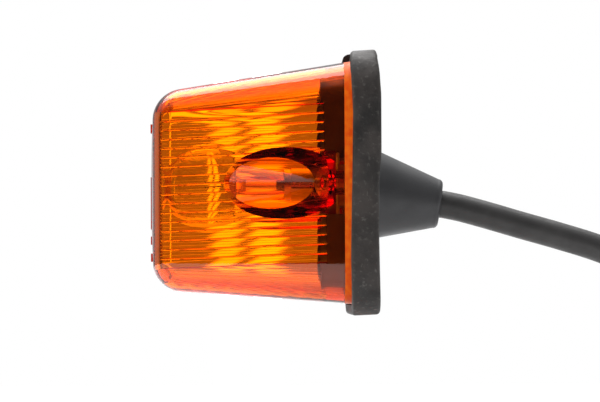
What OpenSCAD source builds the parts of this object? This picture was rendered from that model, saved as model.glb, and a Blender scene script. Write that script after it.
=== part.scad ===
// Amber indicator lamp for a vehicle: a fluted lens, a rubber gasket, a bayonet bulb and a two core lead.
// The lamp's axis is Y. The gasket's rear face lies on the vehicle in the plane y = 0, the lens looks
// towards -Y and the lead leaves towards +Y. Z is up, and the two fixing screws stand in line along X.
// Most pieces are drawn lying on the vehicle's panel, x across, y up and z out of the panel, and turned
// into place by on_panel().

/* [Lens] */
// Width of the lens at its foot
lens_w = 115.8; // [112:0.2:130]
// Height of the lens at its foot
lens_h = 69.1; // [66:0.1:84]
// Depth of the lens from its foot to the crown of its front face
lens_depth = 59.2; // [57:0.2:66]
// Wall of the lens
lens_wall = 2.2; // [1.8:0.1:2.8]
// Slope of the two end walls against the lamp's axis, in degrees
end_slope = 31; // [24:1:33]
// Slope of the top and bottom walls against the lamp's axis, in degrees
side_slope = 5.9; // [4:0.05:8]
// How far the middle of the front face lies below the middle of the foot
front_drop = 1.6; // [0:0.1:2.5]
// Corner radius of the lens at its foot
foot_corner_r = 12; // [9:0.5:14]
// Corner radius of the lens at its front
front_corner_r = 8; // [6:0.5:10]
// Radius of the edge round the front face
front_edge_r = 8.8; // [6:0.2:10]
// How far the front face bulges
front_crown = 0.8; // [0.4:0.1:1.5]
// Width of the thick rim at the lens's foot
rim_w = 3.2; // [2.8:0.1:4]
// Height of the thick rim at the lens's foot
rim_h = 2.4; // [1.5:0.1:3.5]

/* [Flutes] */
// Pitch of the flutes inside the lens
flute_pitch = 2.65; // [2.4:0.05:3.2]
// Flat land between two flutes
flute_land = 0.3; // [0.2:0.05:0.5]
// Depth of a flute
flute_depth = 0.35; // [0.25:0.05:0.5]
// Pitch of the prisms inside the front face
prism_pitch = 1.9; // [1.6:0.1:2.6]
// Depth of the prisms inside the front face
prism_depth = 0.5; // [0.3:0.05:0.7]

/* [Screw wells] */
// Distance between the two fixing screws
screw_spacing = 87; // [85:0.5:88]
// Diameter of a fixing screw's hole
screw_hole_d = 4.6; // [4.2:0.1:5.2]
// Inner diameter of a screw well
well_d = 14.6; // [12:0.2:15]
// Wall of a screw well
well_wall = 2.9; // [2:0.1:3.2]
// Height of a screw well's floor over the lens's foot
well_floor_z = 7.4; // [6.6:0.2:8.5]
// Thickness of a screw well's floor
well_floor_t = 2; // [1.6:0.1:2.6]
// Outer diameter of the sleeve under a screw well
sleeve_d = 7; // [6.6:0.1:8]

/* [Gasket] */
// How far the gasket stands out round the lens
gasket_border = 2.4; // [2:0.1:4]
// How far it stands out further above and below the lens
gasket_border_h = 0.8; // [0:0.1:2]
// Thickness of the gasket
gasket_t = 8.1; // [7:0.1:9]
// Depth of the groove that holds the lens's foot
groove_depth = 1.2; // [0.8:0.1:1.6]
// Rubber left under the base plate
gasket_floor = 3.1; // [2.5:0.1:3.5]
// Width of the window in the back of the gasket
window_w = 70; // [60:1:74]
// Height of the window in the back of the gasket
window_h = 50; // [44:1:52]

/* [Base plate] */
// Thickness of the base plate
plate_t = 2.5; // [2:0.1:2.8]
// Height of the upright rim over the base plate's front
plate_rim_h = 10.9; // [8:0.1:12]
// Thickness of the upright rim
plate_rim_t = 2; // [1.5:0.1:2.5]
// Diameter of the boss round a fixing screw
boss_d = 10; // [9:0.2:12]

/* [Bulb and holder] */
// Diameter of the bulb's glass
bulb_d = 25; // [24:0.5:26.5]
// Length of the bulb from its bayonet pins to its tip
bulb_tip_l = 44.3; // [43:0.1:45]
// Height of the filament over the bayonet pins
filament_l = 31.8; // [31:0.1:32.5]
// Diameter of the bulb's cap
cap_d = 15; // [14.8:0.1:15.2]
// Height of the cap's rim over the bayonet pins
cap_rim_l = 9.5; // [9:0.1:10.5]
// Depth of the cap under the bayonet pins
cap_foot_l = 6.7; // [6.4:0.1:7]
// Thickness of the bulb's glass
glass_t = 0.8; // [0.6:0.1:1]
// Air between the bulb's tip and the lens
bulb_gap = 1.2; // [1:0.1:3]
// Sheet of the bulb holder and its bracket
sheet_t = 0.7; // [0.6:0.1:0.9]
// Width of the bracket that carries the bulb holder
bracket_w = 12; // [10:0.5:13]
// Distance between the bracket's two rivets
rivet_spacing = 52; // [48:1:56]

/* [Boot and lead] */
// Diameter of the boot where it meets the vehicle's panel
boot_root_d = 25.6; // [22:0.2:27]
// Diameter of the boot's tip
boot_tip_d = 13.6; // [12:0.1:15]
// Length of the boot
boot_l = 18.9; // [15:0.1:20]
// Droop of the boot's axis, in degrees
boot_droop = 7.6; // [6:0.1:12]
// How far the boot's root lies below the lamp's axis
boot_drop = 2.8; // [2:0.1:5]
// Wall of the boot
boot_wall = 2.2; // [1.6:0.1:2.6]
// Diameter of the lead
lead_d = 8; // [7:0.1:9]
// Diameter of one core of the lead
core_d = 2; // [1.8:0.1:2.2]

/* [Hidden] */
$fn = 64;

clearance = 0.3;
over = 1;
sink = 0.5;
hair = 0.2;
sliver = 0.01;
screw_x = screw_spacing / 2;

// heights over the vehicle's panel
foot_z = gasket_t - groove_depth;
front_z = foot_z + lens_depth;
plate_z = gasket_floor;
plate_top_z = plate_z + plate_t;
rim_top_z = plate_top_z + plate_rim_h;
floor_top_z = foot_z + well_floor_z;
floor_back_z = floor_top_z - well_floor_t;
boss_rise = 2;
boss_top_z = foot_z + boss_rise;
flute_run_in = 1.3;
flute_start_z = rim_top_z - flute_run_in;

// outlines
gasket_w = lens_w + 2 * gasket_border;
gasket_h = lens_h + 2 * (gasket_border + gasket_border_h);
gasket_corner_r = foot_corner_r + gasket_border;
plate_gap = 1.4;
plate_w = lens_w - 2 * (rim_w + plate_gap);
plate_h = lens_h - 2 * (rim_w + plate_gap);
plate_corner_r = foot_corner_r - rim_w;
rim_clear = 0.6;

function wall_half_w(z) = lens_w / 2 - (z - foot_z) * tan(end_slope);
function wall_half_h(z) = lens_h / 2 - (z - foot_z) * tan(side_slope);
function mid_y(z) = -front_drop * (z - foot_z) / lens_depth;
drop_angle = atan(front_drop / lens_depth);
function share(z) = max(0, min(1, (z - foot_z) / lens_depth));
function corner_at(z) = foot_corner_r + (front_corner_r - foot_corner_r) * share(z);

// Half the width of a wall that leans in by slope and rounds into the flat front at top with the radius r
function rounded_half(half, z, slope, top, r, half_at_centre) =
    z - (top - r) <= r * sin(slope)
        ? half
        : half_at_centre - r / cos(slope) + sqrt(max(0, r * r - pow(z - (top - r), 2)));

// One quarter of a rounded corner, from the angle from, about the corner's own centre
corner_steps = 8;
function corner_arc(cx, cy, r, from) =
    [for (k = [0 : corner_steps]) [cx + r * cos(from + 90 * k / corner_steps),
                                   cy + r * sin(from + 90 * k / corner_steps)]];

function rounded_outline(hw, hh, r) = concat(
    corner_arc(hw - r, hh - r, r, 0),
    corner_arc(r - hw, hh - r, r, 90),
    corner_arc(r - hw, r - hh, r, 180),
    corner_arc(hw - r, r - hh, r, 270));

// One ring of the lens's form, moved in by inset from the outer surface
least_corner_r = 1;
function lens_ring(z, inset) =
    let (
        top = front_z - front_crown - inset,
        r = front_edge_r - inset,
        hw_wall = wall_half_w(z) - inset / cos(end_slope),
        hh_wall = wall_half_h(z) - inset / cos(side_slope),
        hw = rounded_half(hw_wall, z, end_slope, top, r, wall_half_w(top - r) - inset / cos(end_slope)),
        hh = rounded_half(hh_wall, z, side_slope, top, r, wall_half_h(top - r) - inset / cos(side_slope)),
        corner = max(least_corner_r, corner_at(z) - inset - (hh_wall - hh))
    )
    [for (p = rounded_outline(hw, hh, corner)) [p[0], p[1] + mid_y(z), z]];

// Rings of the bulging front face, inside the last ring of the edge
crown_steps = 3;
function crown_ring(k, inset) =
    let (s = 1 - k / (crown_steps + 1), y = mid_y(front_z - front_crown - inset))
    [for (p = lens_ring(front_z - front_crown - inset, inset))
        [p[0] * s, y + (p[1] - y) * s, front_z - inset - front_crown * s * s]];

// A solid skinned over rings of equal count, closed at both ends
module skin(rings) {
    n = len(rings[0]);
    last = len(rings) - 1;
    sides = [for (k = [0 : last - 1], i = [0 : n - 1])
        [k * n + i, (k + 1) * n + i, (k + 1) * n + (i + 1) % n, k * n + (i + 1) % n]];
    foot = [for (i = [0 : n - 1]) i];
    head = [for (i = [n - 1 : -1 : 0]) last * n + i];
    polyhedron(points = [for (ring = rings) each ring],
               faces = concat([foot], sides, [head]), convexity = 6);
}

edge_steps = 7;
module lens_form(inset, from_z) {
    top = front_z - front_crown - inset;
    r = front_edge_r - inset;
    edge = [for (k = [0 : edge_steps]) top - r + r * sin(side_slope + (90 - side_slope) * k / edge_steps)];
    skin(concat([lens_ring(from_z, inset)],
                [for (z = edge) lens_ring(z, inset)],
                [for (k = [1 : crown_steps]) crown_ring(k, inset)]));
}

// Turns a piece drawn on the panel, with z out of it, to the lamp's own axes
module on_panel() {
    rotate([90, 0, 0]) children();
}

module rounded_plate(w, h, r, t) {
    linear_extrude(t) {
        square([w - 2 * r, h], center = true);
        square([w, h - 2 * r], center = true);
        for (x = [-1, 1], y = [-1, 1]) translate([x * (w / 2 - r), y * (h / 2 - r)]) circle(r);
    }
}

module at_screws() {
    for (x = [-screw_x, screw_x]) translate([x, 0, 0]) children();
}

// Flutes: a row of round grooves in line with a wall, centred on its inner face
groove_w = flute_pitch - flute_land;
flute_r = (groove_w * groove_w / 4 + flute_depth * flute_depth) / (2 * flute_depth);
flutes_up = floor((lens_h / 2 - foot_corner_r - flute_pitch / 2) / flute_pitch);
front_half_w = wall_half_w(front_z);
flutes_across = floor((front_half_w - front_corner_r - flute_pitch / 2) / flute_pitch);

module end_flutes() {
    half_w = wall_half_w(flute_start_z) - lens_wall / cos(end_slope);
    for (side = [0, 1])
        mirror([side, 0, 0])
            translate([half_w, mid_y(flute_start_z), flute_start_z])
                rotate([0, -end_slope, 0])
                    rotate([atan(tan(drop_angle) * cos(end_slope)), 0, 0])
                        linear_extrude(lens_depth / cos(end_slope))
                            for (i = [-flutes_up : flutes_up])
                                translate([flute_depth - flute_r, i * flute_pitch]) circle(flute_r);
}

module side_flutes() {
    half_h = wall_half_h(flute_start_z) - lens_wall / cos(side_slope);
    for (up = [1, -1])
        translate([0, mid_y(flute_start_z) + up * half_h, flute_start_z])
            mirror([0, (1 - up) / 2, 0])
                rotate([side_slope + up * drop_angle, 0, 0])
                    linear_extrude(lens_depth)
                        for (i = [-flutes_across : flutes_across])
                            translate([i * flute_pitch, flute_depth - flute_r]) circle(flute_r);
}

// Prisms inside the front face, which lie across the lamp
prism_margin = 1;
prism_root = 3;
prism_half_h = wall_half_h(front_z) - front_edge_r - prism_margin;
prism_half_w = front_half_w - front_edge_r / 2 - prism_margin;
prisms = floor(prism_half_h / prism_pitch);

module front_prisms() {
    inner_z = front_z - front_crown - lens_wall;
    teeth = [for (i = [-prisms : prisms]) each [
        [(i - 0.5) * prism_pitch + flute_land / 2, inner_z],
        [i * prism_pitch, inner_z + prism_depth],
        [(i + 0.5) * prism_pitch - flute_land / 2, inner_z]]];
    half = (prisms + 0.5) * prism_pitch;
    translate([-prism_half_w, mid_y(front_z), 0])
        rotate([90, 0, 90])
            linear_extrude(2 * prism_half_w)
                polygon(concat([[-half, inner_z - prism_root]], teeth, [[half, inner_z - prism_root]]));
}

// Generic raised bars on the front face, where approval marks stand on such a lamp
mark_proud = 0.2;
mark_root = 1;
mark_w = 7;
marks = [[18.7, 2.6], [-3.2, 15.3], [-14.1, 2.4], [-19.1, 2.4]];

module front_marks() {
    for (mark = marks)
        translate([-mark_w / 2, mid_y(front_z) + mark[0] - mark[1] / 2, front_z - front_crown - mark_root])
            cube([mark_w, mark[1], front_crown + mark_root + mark_proud]);
}

module lens() {
    color([0.95, 0.42, 0.02, 0.6])
        on_panel()
            difference() {
                union() {
                    difference() {
                        lens_form(0, foot_z);
                        lens_form(lens_wall, foot_z - over);
                        intersection() {
                            lens_form(lens_wall - flute_depth - clearance, foot_z - over);
                            union() {
                                end_flutes();
                                side_flutes();
                                front_prisms();
                            }
                        }
                    }
                    intersection() {
                        lens_form(lens_wall / 2, foot_z);
                        at_screws() translate([0, 0, floor_back_z])
                            cylinder(r = well_d / 2 + well_wall, h = lens_depth);
                    }
                    lens_foot_rim();
                    at_screws() translate([0, 0, boss_top_z])
                        cylinder(d = sleeve_d, h = floor_back_z - boss_top_z + sink);
                    front_marks();
                }
                at_screws() {
                    translate([0, 0, floor_top_z]) cylinder(d = well_d, h = lens_depth);
                    cylinder(d = screw_hole_d, h = front_z);
                }
            }
}

// The thick rim that stands in the gasket's groove
module lens_foot_rim() {
    translate([0, 0, foot_z])
        difference() {
            intersection() {
                translate([0, 0, -foot_z]) lens_form(lens_wall / 3, foot_z);
                rounded_plate(lens_w, lens_h, foot_corner_r, rim_h);
            }
            translate([0, 0, -over])
                rounded_plate(lens_w - 2 * rim_w - plate_gap, lens_h - 2 * rim_w,
                              foot_corner_r - rim_w, rim_h + 2 * over);
        }
}

window_corner_r = 8;

module gasket() {
    color([0.16, 0.15, 0.14])
        on_panel()
            difference() {
                rounded_plate(gasket_w, gasket_h, gasket_corner_r, gasket_t);
                translate([0, 0, foot_z])
                    rounded_plate(lens_w + 2 * clearance, lens_h + 2 * clearance,
                                  foot_corner_r + clearance, gasket_t);
                translate([0, 0, plate_z])
                    rounded_plate(plate_w + 2 * clearance, plate_h + 2 * clearance,
                                  plate_corner_r + clearance, gasket_t);
                translate([0, 0, -over]) rounded_plate(window_w, window_h, window_corner_r, gasket_t);
                at_screws() translate([0, 0, -over]) cylinder(d = screw_hole_d, h = gasket_t);
            }
}

// Half sizes of the upright rim, which clears the lens's leaning walls at its top
rim_half_w = wall_half_w(rim_top_z) - lens_wall / cos(end_slope) - rim_clear;
rim_half_h = min(plate_h / 2,
                 wall_half_h(rim_top_z) + mid_y(rim_top_z) - lens_wall / cos(side_slope) - rim_clear);
rim_corner_r = corner_at(rim_top_z) - lens_wall;
outlet_ledge = 1;
outlet_d = boot_root_d - 2 * (boot_wall + outlet_ledge);
stiffener_y = 8;
stiffener_h = 3;

module base_plate() {
    color([0.09, 0.08, 0.09])
        on_panel()
            difference() {
                union() {
                    translate([0, 0, plate_z]) rounded_plate(plate_w, plate_h, plate_corner_r, plate_t);
                    difference() {
                        translate([0, 0, plate_z])
                            rounded_plate(2 * rim_half_w, 2 * rim_half_h,
                                          rim_corner_r, rim_top_z - plate_z);
                        translate([0, 0, plate_top_z])
                            rounded_plate(2 * (rim_half_w - plate_rim_t), 2 * (rim_half_h - plate_rim_t),
                                          rim_corner_r - plate_rim_t, plate_rim_h + over);
                        at_screws() translate([0, 0, plate_top_z])
                            cylinder(r = well_d / 2 + well_wall + clearance, h = plate_rim_h + over);
                    }
                    at_screws() translate([0, 0, plate_z]) cylinder(d = boss_d, h = boss_top_z - plate_z);
                    for (x = [-1, 1])
                        translate([x * rivet_spacing / 2 - plate_rim_t / 2, stiffener_y, plate_z])
                            cube([plate_rim_t, rim_half_h - stiffener_y - hair, plate_t + stiffener_h]);
                }
                at_screws() cylinder(d = screw_hole_d, h = rim_top_z);
                translate([0, -boot_drop, 0]) cylinder(d = outlet_d, h = rim_top_z);
                at_rivets() cylinder(d = rivet_d, h = plate_top_z + over);
                translate([0, leaf_foot_y, 0]) cylinder(d = rivet_d, h = plate_top_z + over);
            }
}

// Boot: a leaning cone with a flange in front of the base plate
boot_flange_t = 1;
boot_flange_w = 3;
boot_flange_d = outlet_d + 2 * boot_flange_w;
boot_root_l = 8;
bore_l = 6;
bore_play = 0.6;
lead_play = 0.2;
boot_cone = (boot_root_d - boot_tip_d) / 2 / boot_l;

module along_boot() {
    translate([0, -boot_drop, 0]) rotate([180 - boot_droop, 0, 0]) children();
}

module cable_boot() {
    color([0.24, 0.24, 0.25])
        on_panel()
            difference() {
                union() {
                    intersection() {
                        along_boot() translate([0, 0, -boot_root_l])
                            cylinder(r1 = boot_root_d / 2 + boot_root_l * boot_cone, r2 = boot_tip_d / 2,
                                     h = boot_l + boot_root_l);
                        translate([-boot_root_d, -boot_root_d, plate_z - 2 * boot_l])
                            cube([2 * boot_root_d, 2 * boot_root_d, 2 * boot_l]);
                    }
                    translate([0, -boot_drop, plate_z - sink])
                        cylinder(d = outlet_d - 2 * clearance, h = plate_t + boot_flange_t + sink);
                    translate([0, -boot_drop, plate_top_z]) cylinder(d = boot_flange_d, h = boot_flange_t);
                }
                translate([0, -boot_drop, -over])
                    cylinder(d = outlet_d - 2 * boot_wall, h = plate_top_z + boot_flange_t + 2 * over);
                along_boot() translate([0, 0, -2 * over])
                    cylinder(r1 = outlet_d / 2 - boot_wall - clearance, r2 = lead_d / 2 + bore_play,
                             h = boot_l - bore_l + 2 * over);
                along_boot() cylinder(d = lead_d + lead_play, h = boot_l + over);
            }
}

// Bulb, measured from its bayonet pins
pin_z = front_z - front_crown - lens_wall - bulb_gap - bulb_tip_l;
bulb_centre_z = pin_z + bulb_tip_l - bulb_d / 2;
cap_rim_z = pin_z + cap_rim_l;
cap_foot_z = pin_z - cap_foot_l;
cap_wall = 0.4;
neck_d = 13;
pin_d = 2;
pin_out = 0.9;
cap_bead_h = 1.6;
cap_bead_out = 0.6;
cap_foot_lip = 2;
neck_flare = 3;
neck_l = 5;

module bulb_cap() {
    color([0.72, 0.66, 0.5])
        on_panel() {
            difference() {
                union() {
                    translate([0, 0, cap_foot_z]) cylinder(d = cap_d, h = cap_rim_z - cap_foot_z);
                    translate([0, 0, cap_rim_z - cap_bead_h])
                        cylinder(d = cap_d + 2 * cap_bead_out, h = cap_bead_h);
                    translate([0, 0, pin_z]) rotate([0, 90, 0])
                        cylinder(d = pin_d, h = cap_d + 2 * pin_out, center = true);
                }
                translate([0, 0, cap_foot_z + cap_wall]) cylinder(d = cap_d - 2 * cap_wall, h = cap_rim_z);
                translate([0, 0, cap_foot_z - over]) cylinder(d = cap_d - 2 * cap_foot_lip, h = 3 * over);
            }
        }
}

module bulb_glass() {
    neck_r = neck_d / 2;
    shoulder_r = neck_r + neck_flare;
    shoulder_z = bulb_centre_z - sqrt(pow(bulb_d / 2, 2) - pow(shoulder_r, 2));
    color([0.9, 0.93, 0.95, 0.35])
        on_panel()
            difference() {
                union() {
                    translate([0, 0, bulb_centre_z]) sphere(d = bulb_d);
                    translate([0, 0, cap_rim_z])
                        cylinder(r1 = neck_r, r2 = shoulder_r, h = shoulder_z - cap_rim_z);
                    translate([0, 0, cap_rim_z - neck_l]) cylinder(r = neck_r, h = neck_l);
                }
                translate([0, 0, bulb_centre_z]) sphere(d = bulb_d - 2 * glass_t);
                translate([0, 0, cap_rim_z - sliver])
                    cylinder(r1 = neck_r - glass_t, r2 = shoulder_r - glass_t,
                             h = shoulder_z - cap_rim_z + 2 * sliver);
                translate([0, 0, cap_rim_z - neck_l - over])
                    cylinder(r = neck_r - glass_t, h = neck_l + over);
            }
}

filament_z = pin_z + filament_l;
stem_play = 0.1;
stem_foot_r = neck_d / 2 - glass_t - stem_play;
stem_foot_t = 1.4;
stem_step = 1;
stem_cone_l = 6;
stem_r = 2;
stem_drop = 11;
stem_neck_z = cap_rim_z - neck_l + stem_foot_t + stem_cone_l;
stem_top_z = filament_z - stem_drop;

module bulb_stem() {
    color([0.85, 0.9, 0.92, 0.5])
        on_panel() {
            translate([0, 0, cap_rim_z - neck_l]) cylinder(r = stem_foot_r, h = stem_foot_t);
            translate([0, 0, cap_rim_z - neck_l + stem_foot_t])
                cylinder(r1 = stem_foot_r - stem_step, r2 = stem_r, h = stem_cone_l);
            translate([0, 0, stem_neck_z - sliver]) cylinder(r = stem_r, h = stem_top_z - stem_neck_z);
        }
}

// A round bar swept along points, with each ring square to the path
function unit(v) = v / norm(v);
function tangent(path, k) =
    unit(path[min(k + 1, len(path) - 1)] - path[max(k - 1, 0)]);
function sweep_ring(path, k, r, n, side) =
    let (
        t = tangent(path, k),
        a = unit(side - t * (side * t)),
        b = cross(t, a)
    )
    [for (i = [0 : n - 1]) path[k] + r * (a * cos(360 * i / n) + b * sin(360 * i / n))];

module sweep(path, r, n, side) {
    last = len(path) - 1;
    sides = [for (k = [0 : last - 1], i = [0 : n - 1]) each [
        [k * n + i, (k + 1) * n + i, (k + 1) * n + (i + 1) % n],
        [k * n + i, (k + 1) * n + (i + 1) % n, k * n + (i + 1) % n]]];
    foot = [for (i = [0 : n - 1]) i];
    head = [for (i = [n - 1 : -1 : 0]) last * n + i];
    polyhedron(points = [for (k = [0 : last]) each sweep_ring(path, k, r, n, side)],
               faces = concat([foot], sides, [head]), convexity = 6);
}

filament_half = 3;
filament_turns = 9;
filament_r = 0.55;
filament_wire_r = 0.12;
filament_steps = 8;
lead_wire_r = 0.25;
lead_wire_x = 1;
lead_wire_out = 0.4;
lead_wire_gap = 0.05;

module bulb_filament() {
    helix = [for (k = [0 : filament_turns * filament_steps])
        [-filament_half + 2 * filament_half * k / (filament_turns * filament_steps),
         filament_r * cos(360 * k / filament_steps),
         filament_z + filament_r * sin(360 * k / filament_steps)]];
    color([0.75, 0.75, 0.78])
        on_panel() {
            sweep(helix, filament_wire_r, 5, [0, 1, 0.2]);
            for (side = [-1, 1])
                sweep([[side * lead_wire_x, 0, stem_top_z + lead_wire_gap],
                       [side * 1.1 * lead_wire_x, 0, stem_top_z + 2],
                       [side * (filament_half + lead_wire_out), filament_r, filament_z - 3],
                       [side * (filament_half + lead_wire_out), filament_r, filament_z + 0.6]],
                      lead_wire_r, 6, [0, 1, 0]);
        }
}

insulator_t = 1.2;
insulator_sink = 0.1;
insulator_play = 0.2;
insulator_hole_d = 4;
contact_t = 1.3;
contact_play = 0.2;
contact_foot_d = 4.4;
contact_head_d = 6;
contact_edge_t = 0.15;

module bulb_insulator() {
    color([0.07, 0.07, 0.08])
        on_panel()
            translate([0, 0, cap_foot_z - insulator_sink])
                difference() {
                    cylinder(d = cap_d - 2 * (cap_foot_lip + insulator_play), h = insulator_t);
                    translate([0, 0, -over]) cylinder(d = insulator_hole_d, h = insulator_t + 2 * over);
                }
}

module bulb_contact() {
    color([0.8, 0.8, 0.78])
        on_panel()
            translate([0, 0, cap_foot_z - contact_t]) {
                cylinder(d = insulator_hole_d - contact_play, h = contact_t + insulator_t - contact_play);
                cylinder(d1 = contact_foot_d, d2 = contact_head_d, h = contact_t - contact_edge_t);
            }
}

// Bulb holder: a drawn steel tube with two bayonet slots
holder_play = 0.25;
holder_r = cap_d / 2 + holder_play;
bracket_top_z = cap_foot_z + clearance;
holder_drop = 2;
holder_top_z = cap_rim_z - holder_drop;
slot_w = 2.6;
slot_depth = 3;
slot_turn = 1.8;
slot_dip = 1.2;

module bulb_holder() {
    color([0.62, 0.63, 0.64])
        on_panel()
            difference() {
                translate([0, 0, bracket_top_z])
                    cylinder(r = holder_r + sheet_t, h = holder_top_z - bracket_top_z);
                translate([0, 0, bracket_top_z - over]) cylinder(r = holder_r, h = holder_top_z);
                for (side = [0, 180])
                    rotate([0, 0, side])
                        translate([0, -slot_w / 2, pin_z - slot_w / 2])
                            cube([holder_r + 2 * sheet_t, slot_w, holder_top_z]);
                for (side = [0, 180])
                    rotate([0, 0, side])
                        translate([holder_r - slot_depth, -slot_w / 2, pin_z - slot_w / 2 - slot_dip])
                            cube([slot_depth + 2 * sheet_t, slot_w * slot_turn, slot_w]);
            }
}

// Bracket: a folded strip that bridges the cable outlet and carries the holder
rivet_d = 3.2;
rivet_head_r = 0.9 * rivet_d;
rivet_head_t = 0.8;
rivet_crown_r = 0.6 * rivet_d;
rivet_crown_t = 0.9;
rivet_lap = 0.1;
leg_out = 6;
leg_x = holder_r + sheet_t + leg_out;
flange_l = 4;
collar_w = 1.6;

module at_rivets() {
    for (x = [-rivet_spacing / 2, rivet_spacing / 2]) translate([x, 0, 0]) children();
}

module holder_bracket() {
    flange_end = rivet_spacing / 2 + flange_l;
    profile = [[-flange_end, plate_top_z], [-leg_x, plate_top_z], [-leg_x, bracket_top_z - sheet_t],
               [leg_x, bracket_top_z - sheet_t], [leg_x, plate_top_z], [flange_end, plate_top_z],
               [flange_end, plate_top_z + sheet_t], [leg_x + sheet_t, plate_top_z + sheet_t],
               [leg_x + sheet_t, bracket_top_z], [-leg_x - sheet_t, bracket_top_z],
               [-leg_x - sheet_t, plate_top_z + sheet_t], [-flange_end, plate_top_z + sheet_t]];
    color([0.66, 0.66, 0.66])
        on_panel()
            difference() {
                union() {
                    translate([0, bracket_w / 2, 0]) rotate([90, 0, 0])
                        linear_extrude(bracket_w) polygon(profile);
                    translate([0, 0, bracket_top_z - sheet_t])
                        cylinder(r = holder_r + sheet_t + collar_w, h = sheet_t);
                }
                translate([0, 0, plate_top_z]) cylinder(r = holder_r, h = bracket_top_z);
                at_rivets() cylinder(d = rivet_d, h = bracket_top_z);
            }
}

module rivet(top_z) {
    translate([0, 0, plate_z - rivet_head_t]) cylinder(r = rivet_head_r, h = rivet_head_t);
    translate([0, 0, plate_z - rivet_lap]) cylinder(d = rivet_d, h = top_z - plate_z + 2 * rivet_lap);
    translate([0, 0, top_z]) cylinder(r1 = rivet_head_r, r2 = rivet_crown_r, h = rivet_crown_t);
}

module bracket_rivets() {
    color([0.75, 0.74, 0.7])
        on_panel()
            for (x = [-1, 1])
                translate([x * rivet_spacing / 2, 0, 0])
                    rivet(x > 0 ? plate_top_z + sheet_t + tab_t : plate_top_z + sheet_t);
}

// Contact leaf: a bronze spring under the bulb's contact, on an insulating block
leaf_w = 5;
leaf_t = 0.4;
block_t = 1.6;
block_l = 8;
block_gap = 0.5;
block_side = 2;
head_gap = 0.12;
leaf_foot_y = max(rivet_head_r + head_gap - window_h / 2,
                  block_gap + plate_rim_t + block_l / 2 - plate_h / 2);
leaf_foot_l = 3.5;
leaf_tip_y = 2.5;
leaf_rise_y = -7;
tab_t = 0.5;
leaf_low_z = plate_top_z + block_t;
leaf_high_z = cap_foot_z - contact_t - leaf_t;
leaf_bend_l = 5;
leaf_bend_y = leaf_foot_y + leaf_bend_l;

module leaf_block() {
    color([0.45, 0.25, 0.12])
        on_panel()
            difference() {
                translate([-leaf_w / 2 - block_side, leaf_foot_y - block_l / 2, plate_top_z])
                    cube([leaf_w + 2 * block_side, block_l, block_t]);
                translate([0, leaf_foot_y, 0]) cylinder(d = rivet_d, h = plate_top_z + block_t + over);
            }
}

module contact_leaf() {
    profile = [[leaf_foot_y - leaf_foot_l, leaf_low_z], [leaf_bend_y, leaf_low_z],
               [leaf_rise_y, leaf_high_z], [leaf_tip_y, leaf_high_z], [leaf_tip_y, leaf_high_z + leaf_t],
               [leaf_rise_y - leaf_t / 2, leaf_high_z + leaf_t],
               [leaf_bend_y - leaf_t / 2, leaf_low_z + leaf_t],
               [leaf_foot_y - leaf_foot_l, leaf_low_z + leaf_t]];
    color([0.78, 0.55, 0.25])
        on_panel()
            difference() {
                translate([-leaf_w / 2, 0, 0]) rotate([90, 0, 90]) linear_extrude(leaf_w) polygon(profile);
                translate([0, leaf_foot_y, 0]) cylinder(d = rivet_d, h = leaf_low_z + 2 * over);
            }
}

module leaf_rivet() {
    color([0.75, 0.74, 0.7])
        on_panel() translate([0, leaf_foot_y, 0]) rivet(leaf_low_z + leaf_t + tab_t);
}

// Crimped eyelets under the rivet heads, each with a barrel that grips its wire
eyelet_d = 7;
barrel_t = 0.4;
barrel_d = core_d + 2 * barrel_t;
barrel_x = eyelet_d;
barrel_l = 5;
tail_w = 2.4;

module eyelet(z) {
    difference() {
        union() {
            translate([0, 0, z]) cylinder(d = eyelet_d, h = tab_t);
            translate([0, -tail_w / 2, z]) cube([barrel_x + hair, tail_w, tab_t]);
        }
        translate([0, 0, z - over]) cylinder(d = rivet_d, h = tab_t + 2 * over);
    }
    translate([barrel_x, 0, z + barrel_d / 2]) rotate([0, 90, 0])
        difference() {
            cylinder(d = barrel_d, h = barrel_l);
            translate([0, 0, -over]) cylinder(d = core_d, h = barrel_l + 2 * over);
        }
}

module live_terminal() {
    color([0.8, 0.78, 0.7])
        on_panel() translate([0, leaf_foot_y, 0]) eyelet(leaf_low_z + leaf_t);
}

module earth_terminal() {
    color([0.8, 0.78, 0.7])
        on_panel() translate([rivet_spacing / 2, 0, 0]) rotate([0, 0, -90]) eyelet(plate_top_z + sheet_t);
}

// Wires from the end of the lead's jacket through the boot and the outlet to the two eyelets
wire_play = 0.05;
wire_r = core_d / 2 - wire_play;
jacket_end = 3.5;
jacket_wall = 0.9;
core_off = lead_d / 2 - core_d / 2 - jacket_wall;
wire_z = plate_top_z + boot_flange_t + wire_r + hair;
wire_bend_x = core_d / 2;
wire_out_x = 2 * core_d;
live_turn_l = 5.8;
live_turn_x = barrel_x + barrel_l + live_turn_l;
earth_turn = 2.6;
function between(a, b, s) = a + s * (b - a);

function boot_point(off, d) =
    [0, -boot_drop - d * sin(boot_droop) + off * cos(boot_droop),
     -d * cos(boot_droop) - off * sin(boot_droop)];

module wire_live() {
    barrel = [barrel_x, leaf_foot_y, leaf_low_z + leaf_t + barrel_d / 2];
    out = [wire_out_x, -boot_drop - core_off - core_d, wire_z];
    turn = [live_turn_x, leaf_foot_y + core_d / 5, barrel[2] + core_d / 5];
    color([0.5, 0.27, 0.12])
        on_panel()
            sweep([boot_point(-core_off, jacket_end - wire_play), [0, -boot_drop - core_off, 1],
                   [0.1, -boot_drop - core_off, plate_z + 1],
                   [wire_bend_x, -boot_drop - core_off - 0.4, wire_z - 0.5],
                   out, between(out, turn, 0.35), between(out, turn, 0.68), turn + [-0.2, core_d, -0.4],
                   turn, barrel + [barrel_l + 3, 0, 0], barrel + [barrel_l, 0, 0], barrel + [0.5, 0, 0]],
                  wire_r, 8, [0.3, 0.4, 1]);
}

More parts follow.
